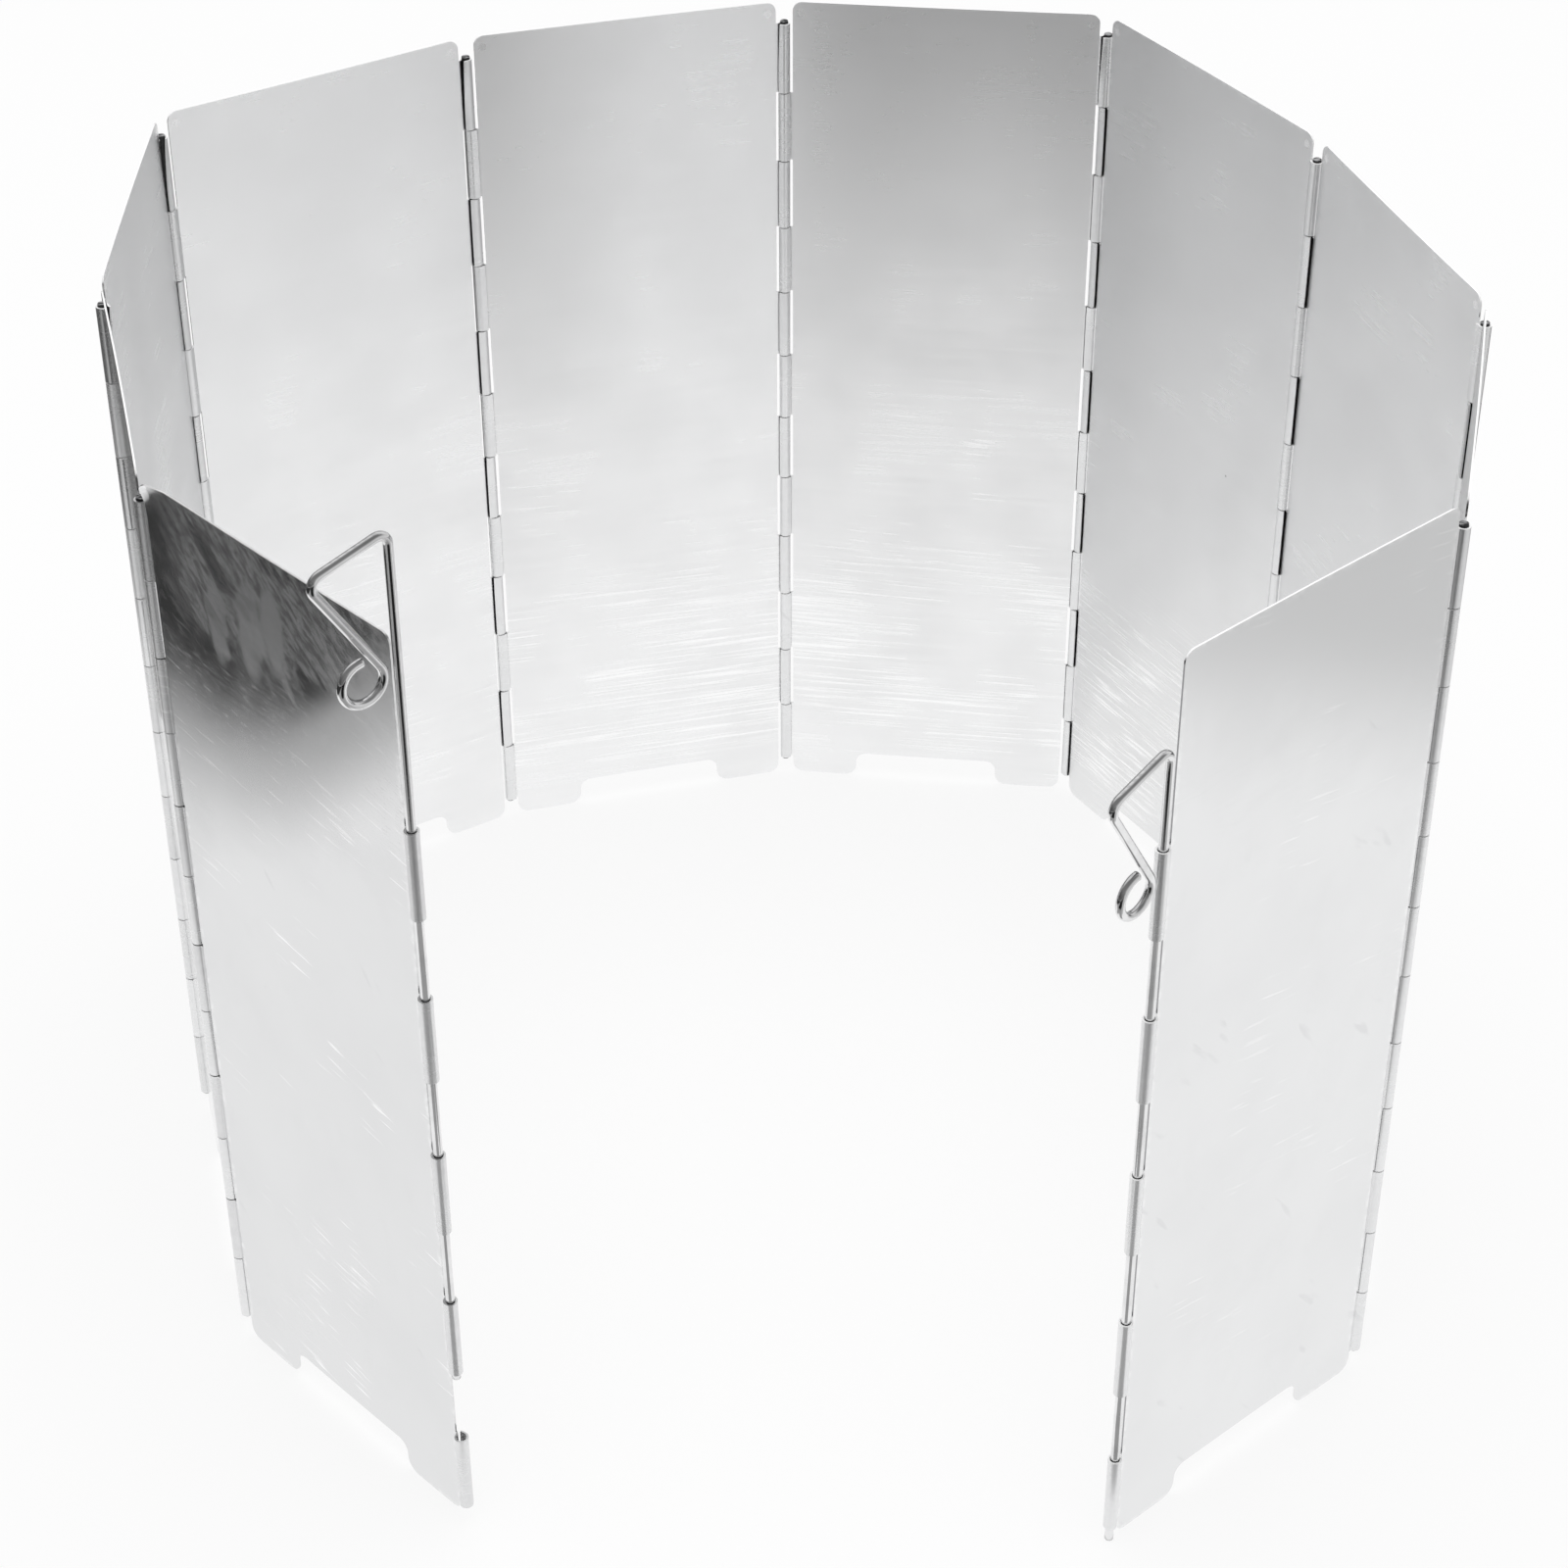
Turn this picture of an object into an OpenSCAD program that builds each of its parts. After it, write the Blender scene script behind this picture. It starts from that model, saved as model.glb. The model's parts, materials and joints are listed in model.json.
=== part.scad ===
// Folding stove windscreen: ten thin sheet panels joined edge to edge by rolled
// knuckles on wire pins, with a wire ground stake in each free edge.
// Millimetres, Z up, standing on Z = 0 with the open side facing -Y.

/* [Panels] */
// Height of every panel
panel_height = 240; // [200:1:300]
// Distance from one hinge axis to the next
panel_pitch = 81; // [60:0.5:110]
// Thickness of the aluminium sheet
sheet = 0.4; // [0.3:0.05:0.8]
// Distance from a hinge axis to the straight side edge of a panel
edge_setback = 2.15; // [2:0.05:4]
// Radius of the two top corners
top_corner = 2.5; // [1:0.5:8]
// Radius of the two outer bottom corners
bottom_corner = 3; // [1:0.5:6]

/* [Vent] */
// Width of the air notch in the bottom edge, measured at half its height
vent_width = 40; // [20:1:60]
// Height of the air notch, which is also the height of the two feet
vent_height = 7.8; // [4:0.1:15]
// Radius of the two inner corners at the top of the notch
vent_round = 3; // [0.5:0.1:4]
// Radius of the foot corners beside the notch
foot_round = 3.5; // [0.5:0.1:4]

/* [Hinges] */
// Diameter of the steel wire used for the pins and the stakes
wire = 2; // [1.5:0.1:3]
// Gap between the wire and a knuckle, on the radius
wire_clearance = 0.1; // [0.02:0.01:0.1]
// How far the top knuckle is crimped into its pin, on the radius
crimp = 0.02; // [0.01:0.01:0.05]
// Number of knuckles along one hinge, shared by its two panels
knuckle_slots = 12; // [8:2:20]
// Distance from the top edge to the first knuckle
hinge_top_margin = 5.6; // [2:0.1:12]
// Distance from the floor to the last knuckle
hinge_bottom_margin = 5.2; // [2:0.1:12]
// Gap between two neighbouring knuckles, along the pin
knuckle_gap = 0.3; // [0.1:0.05:1]
// Offset of a hinge axis from the sheet, to the side it folds towards
axis_offset = 0.25; // [0.2:0.01:0.6]
// Width of the open seam where a rolled knuckle meets its own sheet
roll_seam = 0.5; // [0.05:0.05:0.6]
// How far a pin stands out of its last knuckles
pin_overhang = 0.4; // [0:0.1:2]

/* [Free edges] */
// Distance from the top edge to the first knuckle of a free edge
edge_first = 44.5; // [20:0.5:80]
// Distance from the floor to the last knuckle of a free edge
edge_last = 4.3; // [2:0.1:30]
// Length of a free knuckle
edge_length = 21.6; // [10:0.1:30]
// Number of knuckles on a free edge
edge_count = 5; // [3:1:5]

/* [Stakes] */
// Height of the handle's top bend over the tip, to the middle of the wire
stake_length = 219.5; // [150:0.5:240]
// Reach of the handle's outer bend from the rod
handle_reach = 18; // [10:0.5:30]
// Drop from the top bend to the outer bend
handle_drop = 4.6; // [0:0.1:15]
// Direction of the wire that returns from the outer bend, from the horizontal
handle_return = 239; // [225:0.5:260]
// Length of that returning wire, from the corner to the end loop
handle_side = 27.5; // [15:0.5:40]
// Radius of the top bend, to the middle of the wire
top_bend = 2.2; // [1.5:0.1:4]
// Radius of the outer bend, to the middle of the wire
outer_bend = 2.5; // [1.5:0.1:4]
// Radius of the end loop, to the middle of the wire
loop_radius = 4.6; // [3:0.1:7]
// Angle that the end loop covers
loop_sweep = 305; // [180:5:320]
// Extra wire radius in the bends, where bending thickens the wire
bend_swell = 0.02; // [0.01:0.01:0.1]
// Height of the left stake's tip over the floor
left_lift = 44.8; // [0:0.1:85]
// Height of the right stake's tip over the floor
right_lift = 0; // [0:0.1:85]
// Direction of the left handle, from the left end panel towards its outside
left_swing = 84; // [0:1:180]
// Direction of the right handle, from straight off the end of the right end panel
right_swing = 6; // [-90:1:90]

/* [Standing shape] */
// Direction of the back left panel
back_heading = 13.5; // [-20:0.5:30]
// Inward bend at hinge 1, the one nearest the left stake
bend_1 = 30.5; // [0:0.5:90]
// Inward bend at hinge 2
bend_2 = 14.5; // [0:0.5:90]
// Inward bend at hinge 3
bend_3 = 58.5; // [0:0.5:90]
// Inward bend at hinge 4
bend_4 = 16.5; // [0:0.5:90]
// Inward bend at hinge 5
bend_5 = 21; // [0:0.5:90]
// Inward bend at hinge 6
bend_6 = 51; // [0:0.5:90]
// Inward bend at hinge 7
bend_7 = 14; // [0:0.5:90]
// Inward bend at hinge 8
bend_8 = 30.5; // [0:0.5:90]
// Inward bend at hinge 9, the one nearest the right stake
bend_9 = 37.5; // [0:0.5:90]

/* [Hidden] */
$fn = 48;

aluminium = [0.80, 0.81, 0.82];
steel = [0.72, 0.73, 0.75];

wire_r = wire / 2;
bore_r = wire_r + wire_clearance;
crimp_r = wire_r - crimp;
bend_overlap = 0.15;
tab_overlap = 0.5;
cut_margin = 1;
roll_r = bore_r + sheet;
slot = (panel_height - hinge_top_margin - hinge_bottom_margin) / knuckle_slots;
edge_pitch = (panel_height - edge_first - edge_last - edge_length) / (edge_count - 1);
panel_last = 10;
root = 5;
bends = [0, bend_1, bend_2, bend_3, bend_4, bend_5, bend_6, bend_7, bend_8, bend_9];

// Handle corners, seen flat with the rod along +Y and its tip at the origin
handle_slope = -atan2(handle_drop, handle_reach);
top_turn = 90 - handle_slope;
top_run = top_bend * tan(top_turn / 2);
top_corner_at = [0, stake_length];
outer_corner_at = [handle_reach, stake_length - handle_drop];
outer_turn = 360 + handle_slope - handle_return;
outer_run = outer_bend * tan(outer_turn / 2);
top_centre = [top_bend, stake_length - top_run];
outer_start = outer_corner_at - outer_run * dir(handle_slope);
outer_centre = outer_start + outer_bend * dir(handle_slope - 90);
return_end = outer_corner_at + handle_side * dir(handle_return);
loop_centre = return_end + loop_radius * dir(handle_return + 90);
handle_max = outer_centre[0] + outer_bend;

function dir(a) = [cos(a), sin(a)];
function turned(v, a) = [v[0] * cos(a) - v[1] * sin(a), v[0] * sin(a) + v[1] * cos(a)];

// Odd hinges fold inwards, so their axis lies just inside the sheet; even ones outside
function offset_at(i) = i % 2 == 1 ? -axis_offset : axis_offset;

// Direction of panel n, going from the left stake round the back to the right stake
function heading(n) = n == root ? back_heading
    : n > root ? heading(n - 1) - bends[n - 1]
    : heading(n + 1) + bends[n];

// Corner of panel n in plan: the foot of its first hinge axis on its own sheet
function corner(n) = n == root ? [0, 0]
    : n > root ? axis_at(n - 1) - turned([0, offset_at(n - 1)], heading(n))
    : corner(n + 1) + turned([0, offset_at(n)], heading(n + 1))
        - turned([panel_pitch, offset_at(n)], heading(n));

// Hinge axis i in plan; 0 and 10 are the two stakes
function axis_at(i) = i == 0 ? corner(1) + turned([0, offset_at(0)], heading(1))
    : corner(i) + turned([panel_pitch, offset_at(i)], heading(i));

axes = [for (i = [0:panel_last]) axis_at(i)];
axis_x = [for (p = axes) p[0]];
axis_y = [for (p = axes) p[1]];
left_azimuth = heading(1) + left_swing;
right_azimuth = heading(panel_last) + right_swing;
left_front = axes[0][1] + handle_max * sin(left_azimuth) - wire_r - bend_swell;
right_front = axes[panel_last][1] + handle_max * sin(right_azimuth) - wire_r - bend_swell;
middle_x = (min(axis_x) + max(axis_x)) / 2;
front_y = min(min(axis_y) - roll_r, left_front, right_front);
middle_y = (front_y + max(axis_y) + roll_r) / 2;

// Plan shift that puts the origin under the middle of the whole outline
module placed(n) {
    translate([corner(n)[0] - middle_x, corner(n)[1] - middle_y, 0])
        rotate([0, 0, heading(n)])
            children();
}

// Flat outline of the sheet between two hinge axes
module sheet_outline() {
    left = edge_setback;
    right = panel_pitch - edge_setback;
    middle = panel_pitch / 2;
    half = vent_width / 2;
    difference() {
        union() {
            translate([left, bottom_corner])
                square([right - left, panel_height - bottom_corner - top_corner]);
            translate([left + bottom_corner, 0])
                square([right - left - 2 * bottom_corner, panel_height / 2]);
            translate([left + top_corner, panel_height / 2])
                square([right - left - 2 * top_corner, panel_height / 2]);
            for (x = [left + bottom_corner, right - bottom_corner])
                translate([x, bottom_corner])
                    circle(r = bottom_corner);
            for (x = [left + top_corner, right - top_corner])
                translate([x, panel_height - top_corner])
                    circle(r = top_corner);
        }
        translate([middle - half, -cut_margin])
            square([vent_width, vent_height - vent_round + cut_margin]);
        translate([middle - half + vent_round, -cut_margin])
            square([vent_width - 2 * vent_round, vent_height + cut_margin]);
        for (s = [-1, 1])
            translate([middle + s * (half - vent_round), vent_height - vent_round])
                circle(r = vent_round);
        for (s = [-1, 1])
            translate([middle + s * half, 0])
                foot_cut(s);
    }
}

// Waste that rounds one foot beside the notch
module foot_cut(side) {
    difference() {
        translate([side > 0 ? -cut_margin : -foot_round, -cut_margin])
            square([foot_round + cut_margin, foot_round + cut_margin]);
        translate([side * foot_round, foot_round])
            circle(r = foot_round);
    }
}

// Cross-section of one rolled knuckle at a left edge, with its tab to the sheet
module knuckle_section(y, hole_r) {
    tab_start = bore_r + sheet / 4;
    difference() {
        union() {
            translate([0, y])
                circle(r = roll_r);
            translate([tab_start, -sheet / 2])
                square([edge_setback - tab_start + tab_overlap, sheet]);
        }
        translate([0, y])
            circle(r = hole_r);
        translate([0, -sheet / 2 - roll_seam])
            square([roll_r + cut_margin, roll_seam]);
    }
}

// Knuckle on the left (side 1) or right (side -1) edge, from z up
module knuckle(side, i, z, length, hole_r) {
    translate([side > 0 ? 0 : panel_pitch, 0, z])
        linear_extrude(height = length)
            mirror([side > 0 ? 0 : 1, 0])
                knuckle_section(offset_at(i), hole_r);
}

// Knuckles of a hinge edge; first is 1 for odd slots from the top or 2 for even ones
module hinge_edge(side, i, first) {
    for (k = [first:2:knuckle_slots])
        knuckle(side, i, panel_height - hinge_top_margin - k * slot + knuckle_gap / 2,
            slot - knuckle_gap, k == 1 ? crimp_r : bore_r);
}

// Knuckles of a free edge, which guide a stake
module free_edge(side, i) {
    for (k = [0:edge_count - 1])
        knuckle(side, i, panel_height - edge_first - k * edge_pitch - edge_length,
            edge_length, bore_r);
}

module panel_body() {
    rotate([90, 0, 0])
        translate([0, 0, -sheet / 2])
            linear_extrude(height = sheet)
                sheet_outline();
}

module panel(n) {
    color(aluminium)
        placed(n)
            union() {
                panel_body();
                if (n == 1)
                    free_edge(1, 0);
                else
                    hinge_edge(1, n - 1, 2);
                if (n == panel_last)
                    free_edge(-1, panel_last);
                else
                    hinge_edge(-1, n, 1);
            }
}

module hinge_pin(i) {
    color(steel)
        translate([axes[i][0] - middle_x, axes[i][1] - middle_y, hinge_bottom_margin - pin_overhang])
            cylinder(r = wire_r,
                h = panel_height - hinge_top_margin - hinge_bottom_margin + 2 * pin_overhang);
}

// Straight piece of wire between two points of the flat handle drawing,
// carried on into the bend at its start and at its end
module wire_line(p, q, before, after) {
    translate([p[0], p[1], 0])
        rotate([0, 0, atan2(q[1] - p[1], q[0] - p[0])])
            translate([-before, 0, 0])
                rotate([0, 90, 0])
                    cylinder(r = wire_r, h = norm(q - p) + before + after);
}

// Bent piece of wire, from an angle and counter-clockwise
module wire_arc(centre, radius, from, sweep) {
    translate([centre[0], centre[1], 0])
        rotate([0, 0, from])
            rotate_extrude(angle = sweep)
                translate([radius, 0])
                    circle(r = wire_r + bend_swell);
}

// One stake with its rod along +Z and its handle towards +X
module stake() {
    color(steel)
        rotate([90, 0, 0])
            union() {
                wire_line([0, 0], [0, top_centre[1]], 0, bend_overlap);
                wire_arc(top_centre, top_bend, 180 - top_turn, top_turn);
                wire_line(top_corner_at + top_run * dir(handle_slope), outer_start,
                    bend_overlap, bend_overlap);
                wire_arc(outer_centre, outer_bend, handle_slope + 90 - outer_turn, outer_turn);
                wire_line(outer_corner_at + outer_run * dir(handle_return), return_end,
                    bend_overlap, bend_overlap);
                wire_arc(loop_centre, loop_radius, handle_return - 90, loop_sweep);
            }
}

module end_panel_left() {
    panel(1);
}

module end_panel_right() {
    panel(panel_last);
}

module stake_left() {
    translate([axes[0][0] - middle_x, axes[0][1] - middle_y, left_lift])
        rotate([0, 0, left_azimuth])
            stake();
}

module stake_right() {
    translate([axes[panel_last][0] - middle_x, axes[panel_last][1] - middle_y, right_lift])
        rotate([0, 0, right_azimuth])
            stake();
}

module panel_2() {
    panel(2);
}

module panel_3() {
    panel(3);
}

module panel_4() {
    panel(4);
}

module panel_5() {
    panel(5);
}

module panel_6() {
    panel(6);
}

module panel_7() {
    panel(7);
}

module panel_8() {
    panel(8);
}

module panel_9() {
    panel(9);
}

module hinge_pin_1() {
    hinge_pin(1);
}

module hinge_pin_2() {
    hinge_pin(2);
}

module hinge_pin_3() {
    hinge_pin(3);
}

module hinge_pin_4() {
    hinge_pin(4);
}

module hinge_pin_5() {
    hinge_pin(5);
}

module hinge_pin_6() {
    hinge_pin(6);
}

module hinge_pin_7() {
    hinge_pin(7);
}

module hinge_pin_8() {
    hinge_pin(8);
}

module hinge_pin_9() {
    hinge_pin(9);
}

end_panel_left();
panel_2();
panel_3();
panel_4();
panel_5();
panel_6();
panel_7();
panel_8();
panel_9();
end_panel_right();
hinge_pin_1();
hinge_pin_2();
hinge_pin_3();
hinge_pin_4();
hinge_pin_5();
hinge_pin_6();
hinge_pin_7();
hinge_pin_8();
hinge_pin_9();
stake_left();
stake_right();
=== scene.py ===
"""Dresses the folding stove windscreen: rolled sheet panels, wire stakes, hinge pins and their finish.

Blender works in metres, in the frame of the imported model. The sizes below are in millimetres.
"""
import json
import math

import bpy
from mathutils import Matrix, Vector


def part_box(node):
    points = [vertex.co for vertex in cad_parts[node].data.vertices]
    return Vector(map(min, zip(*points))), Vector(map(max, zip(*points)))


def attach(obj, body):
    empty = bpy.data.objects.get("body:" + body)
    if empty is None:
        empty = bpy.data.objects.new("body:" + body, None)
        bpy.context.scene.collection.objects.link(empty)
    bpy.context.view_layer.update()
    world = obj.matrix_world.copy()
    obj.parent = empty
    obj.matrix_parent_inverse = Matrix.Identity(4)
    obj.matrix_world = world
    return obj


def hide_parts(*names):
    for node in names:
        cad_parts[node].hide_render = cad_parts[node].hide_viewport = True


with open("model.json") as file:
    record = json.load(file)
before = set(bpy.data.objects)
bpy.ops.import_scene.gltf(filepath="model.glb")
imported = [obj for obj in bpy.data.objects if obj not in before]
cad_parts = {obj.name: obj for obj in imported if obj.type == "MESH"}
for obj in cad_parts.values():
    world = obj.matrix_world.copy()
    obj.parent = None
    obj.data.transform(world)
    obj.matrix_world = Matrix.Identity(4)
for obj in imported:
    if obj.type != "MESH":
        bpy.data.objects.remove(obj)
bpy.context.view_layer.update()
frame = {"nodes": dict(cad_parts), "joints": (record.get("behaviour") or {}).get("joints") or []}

MM = 0.001
PER_MM = (1 / MM, 1 / MM, 1 / MM)

# Sheet panels
PANELS = 10
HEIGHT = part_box("panel_5")[1].z / MM
SHEET = 0.4
EDGE_SETBACK = 2.15
TOP_CORNER = 2.5
BOTTOM_CORNER = 3.0
VENT_WIDTH = 40.0
VENT_HEIGHT = 7.8
VENT_ROUND = 3.0
FOOT_ROUND = 3.5
BOW = 0.25
BOW_STEADY = 0.75
EDGE_ROUND = 0.06
ROUND_SEGMENTS = 2
SHARP_ANGLE = 60

# Rolled knuckles
AXIS_OFFSET = 0.25
ROLL_RADIUS = 1.29
ROLL_START = 25.0
ROLL_END = 280.0
LIP_SHORT = 0.6
LIP_CLEAR = 0.72
LIP_EASE = 0.4
KNUCKLE_SLOTS = 12
HINGE_TOP = 5.6
HINGE_BOTTOM = 5.2
KNUCKLE_GAP = 0.3
SLOT = (HEIGHT - HINGE_TOP - HINGE_BOTTOM) / KNUCKLE_SLOTS
FREE_FIRST = 44.5
FREE_LAST = 4.3
FREE_LENGTH = 21.6
FREE_COUNT = 5
FREE_PITCH = (HEIGHT - FREE_FIRST - FREE_LAST - FREE_LENGTH) / (FREE_COUNT - 1)
FREE_ROLL_RADIUS = 1.34
FLARE_BACK = 0.7
FLARE_LIFT = 0.75

# Wire stakes
WIRE_RADIUS = 1.0
STAKE_LENGTH = 219.5
HANDLE_REACH = 18.0
HANDLE_DROP = 4.6
HANDLE_RETURN = 239.0
HANDLE_SIDE = 27.5
TOP_BEND = 2.2
OUTER_BEND = 2.5
LOOP_RADIUS = 4.6
LOOP_SWEEP = 305.0

# Camera, from the photograph's perspective; pixels are those of its 1600 by 1600 frame
PHOTO_SIZE = 1600
FOCAL_PX = 3532.1
CENTRE_PX = (760, 720)
SENSOR = 36.0
NEAREST = 10.0
CAMERA_AT = (-13.3, -654.8, 603.8)
CAMERA_PITCH = 35.833
CAMERA_ROLL = -0.617
CAMERA_YAW = -0.266


def place_camera():
    pitch, roll, yaw = (math.radians(a) for a in (CAMERA_PITCH, CAMERA_ROLL, CAMERA_YAW))
    level = Vector((math.cos(yaw), math.sin(yaw), 0))
    flat = math.cos(pitch)
    forward = Vector((-math.sin(yaw) * flat, math.cos(yaw) * flat, -math.sin(pitch)))
    above = level.cross(forward)
    right = math.cos(roll) * level + math.sin(roll) * above
    up = math.cos(roll) * above - math.sin(roll) * level
    data = bpy.data.cameras.new("camera")
    data.sensor_width = SENSOR
    data.lens = FOCAL_PX * SENSOR / PHOTO_SIZE
    data.shift_x = 0.5 - CENTRE_PX[0] / PHOTO_SIZE
    data.shift_y = CENTRE_PX[1] / PHOTO_SIZE - 0.5
    data.clip_start = NEAREST * MM
    camera = bpy.data.objects.new("camera", data)
    turn = Matrix((right, up, -forward)).transposed().to_4x4()
    camera.matrix_world = Matrix.Translation(Vector(CAMERA_AT) * MM) @ turn
    bpy.context.scene.collection.objects.link(camera)
    bpy.context.scene.camera = camera


# Node helpers

# The Mix node's sockets for colours
COLOUR_A = 6
COLOUR_B = 7
COLOUR_OUT = 2


def join(tree, socket, value):
    """Links a node's output to a socket, or sets the socket to a plain value."""
    if isinstance(value, bpy.types.NodeSocket):
        tree.links.new(value, socket)
    else:
        socket.default_value = value


def node(tree, kind, inputs=(), **settings):
    """Adds a node with its settings, and its inputs as (name or number, value) pairs."""
    made = tree.nodes.new("ShaderNode" + kind)
    for name, value in settings.items():
        setattr(made, name, value)
    for name, value in inputs:
        join(tree, made.inputs[name], value)
    return made


def calc(tree, operation, *values):
    """One Math node on sockets or numbers."""
    return node(tree, "Math", list(enumerate(values)), operation=operation).outputs[0]


def product(tree, *factors):
    total = factors[0]
    for factor in factors[1:]:
        total = calc(tree, "MULTIPLY", total, factor)
    return total


def largest(tree, *values):
    total = values[0]
    for value in values[1:]:
        total = calc(tree, "MAXIMUM", total, value)
    return total


def ramp(tree, value, start, end, low=0.0, high=1.0):
    """Smooth step of a value from start to end, given as low to high."""
    pairs = [("Value", value), ("From Min", start), ("From Max", end), ("To Min", low), ("To Max", high)]
    return node(tree, "MapRange", pairs, interpolation_type="SMOOTHSTEP").outputs[0]


def split(tree, vector):
    """The three parts of a vector, by name."""
    return node(tree, "SeparateXYZ", [(0, vector)]).outputs


def stretch(tree, vector, scale):
    """A vector times a scale for each axis."""
    return node(tree, "VectorMath", [(0, vector), (1, scale)], operation="MULTIPLY").outputs[0]


def noise(tree, vector, scale, detail, rough):
    """Even noise, with one scale for all axes."""
    pairs = [("Vector", vector), ("Scale", scale), ("Detail", detail), ("Roughness", rough)]
    return node(tree, "TexNoise", pairs).outputs[0]


def pattern(tree, vector, scale, detail, rough):
    """Noise drawn out along the axes: scale has a number for each of them."""
    return noise(tree, stretch(tree, vector, scale), 1.0, detail, rough)


def blend(tree, share, first, second):
    """Mix of two colours."""
    pairs = [("Factor", share), (COLOUR_A, first), (COLOUR_B, second)]
    return node(tree, "Mix", pairs, data_type="RGBA").outputs[COLOUR_OUT]


def surface_normal(tree):
    return split(tree, node(tree, "NewGeometry").outputs["Normal"])


def new_material(name):
    material = bpy.data.materials.new(name)
    material.use_nodes = True
    tree = material.node_tree
    return material, tree, tree.nodes["Principled BSDF"]


# Stage: a white floor sheet under a softbox

FLOOR_HALF = 4000.0
FLOOR_COLOUR = (0.9, 0.9, 0.9, 1)
WHITE = (1, 1, 1, 1)
BACKDROP_SHARE = 0.86
SOFTBOX_HEIGHT = 1900.0
SOFTBOX_SIZE = 1800.0
SOFTBOX_POWER = 24.0

# The room as the metal mirrors it: brightness by side, and where one side fades into the next
AMBIENT = 0.55
ROOM_LEFT = 0.08
ROOM_RIGHT = 0.7
ROOM_FRONT = 0.45
ROOM_ABOVE = 0.85
ROOM_OVER_FRONT = 0.2
LEFT_TO_RIGHT = (-0.8, 0.8)
WALL_TO_FRONT = (-0.85, -0.97)
WALL_TO_ABOVE = (0.1, 0.7)
FRONT_TO_ABOVE = (-0.1, 0.5)

# Greys of the cards on the floor
DARK = 0.035
GREY = 0.68
BLACK = (0.01, 0.01, 0.01, 1)
BACK_GREY = (0.13, 0.13, 0.13, 1)
FRONT_GREY = (0.52, 0.52, 0.52, 1)
FRONT_LEFT_GREY = (0.36, 0.36, 0.36, 1)
NEAR_GREY = (0.36, 0.36, 0.36, 1)

# Borders of the white sheet and of the cards; the left border is a curve with a step and a fade
FLAG_LIFT = 1.0
FLAG_FAR = 3000.0
SHEET_FRONT = -240.0
SHEET_RIGHT = 396.0
RIGHT_FADE = 48.0
SHEET_LEFT = -365.0
SHEET_CURVE = 0.018
CURVE_REACH = 45.0
STEP_MIDDLE = -31.0
STEP_FROM = -20.0
STEP_TO = 6.0
STEP_SHADE = 0.46
FADE_MIDDLE = -44.0
FADE_FROM = -5.0
FADE_TO = 64.0
BACK_CORNER = (-185.0, 172.0)
BACK_RIGHT_CORNER = (182.0, 150.0)

# Cards in front of the free edges, as left and right ends of the back border, then of the front one
NEAR_BACK = -152.0
NEAR_LEFT = (-95.0, -45.0, -185.0, 45.0)
NEAR_RIGHT = (40.0, 88.0, -40.0, 165.0)

# Black card in front: each side's place at the white sheet's front border, and its slope
WEDGE_FRONT = -372.0
WEDGE_LEFT = (-98.0, -0.25)
WEDGE_RIGHT = (108.0, 0.42)


def light_the_world():
    """White to the camera, even light on the floor, a room of dark and bright sides in the metal."""
    world = bpy.data.worlds.new("studio")
    bpy.context.scene.world = world
    world.use_nodes = True
    tree = world.node_tree
    background = tree.nodes["Background"]
    background.inputs["Color"].default_value = WHITE
    path = node(tree, "LightPath").outputs
    towards = split(tree, node(tree, "TexCoord").outputs["Generated"])
    sides = ramp(tree, towards["X"], *LEFT_TO_RIGHT, ROOM_LEFT, ROOM_RIGHT)
    wall = calc(tree, "MULTIPLY", sides, ramp(tree, towards["Y"], *WALL_TO_FRONT, 1.0, ROOM_FRONT))
    height = ramp(tree, towards["Z"], *WALL_TO_ABOVE)
    above = ramp(tree, towards["Y"], *FRONT_TO_ABOVE, ROOM_OVER_FRONT, ROOM_ABOVE)
    room = calc(tree, "MULTIPLY_ADD", height, calc(tree, "SUBTRACT", above, wall), wall)
    seen = calc(tree, "MULTIPLY_ADD", path["Is Camera Ray"], 1.0 - AMBIENT, AMBIENT)
    mirrored = calc(tree, "MULTIPLY", path["Is Glossy Ray"], calc(tree, "SUBTRACT", room, AMBIENT))
    tree.links.new(calc(tree, "ADD", seen, mirrored), background.inputs["Strength"])


def box_corners(low, high):
    return [(low[0], low[1]), (high[0], low[1]), (high[0], high[1]), (low[0], high[1])]


def flat_plane(name, corners, height):
    """Level sheet with the given corners."""
    mesh = bpy.data.meshes.new(name)
    mesh.from_pydata([(x * MM, y * MM, height * MM) for x, y in corners], [], [range(len(corners))])
    plane = bpy.data.objects.new(name, mesh)
    bpy.context.scene.collection.objects.link(plane)
    return plane


def floor_material():
    """Pale floor that reads as white, and still takes the object's shadow."""
    material, tree, shader = new_material("floor")
    tree.nodes.remove(shader)
    matt = node(tree, "BsdfDiffuse", [("Color", FLOOR_COLOUR)])
    white = node(tree, "Emission", [("Color", WHITE), ("Strength", 1.0)])
    path = node(tree, "LightPath").outputs
    share = calc(tree, "MULTIPLY_ADD", path["Is Camera Ray"], BACKDROP_SHARE, path["Is Glossy Ray"])
    mixed = node(tree, "MixShader", [(0, share), (1, matt.outputs[0]), (2, white.outputs[0])])
    tree.links.new(mixed.outputs[0], tree.nodes["Material Output"].inputs["Surface"])
    return material


def lay_floor():
    floor = flat_plane("floor", box_corners((-FLOOR_HALF, -FLOOR_HALF), (FLOOR_HALF, FLOOR_HALF)), 0.0)
    floor.data.materials.append(floor_material())


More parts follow.
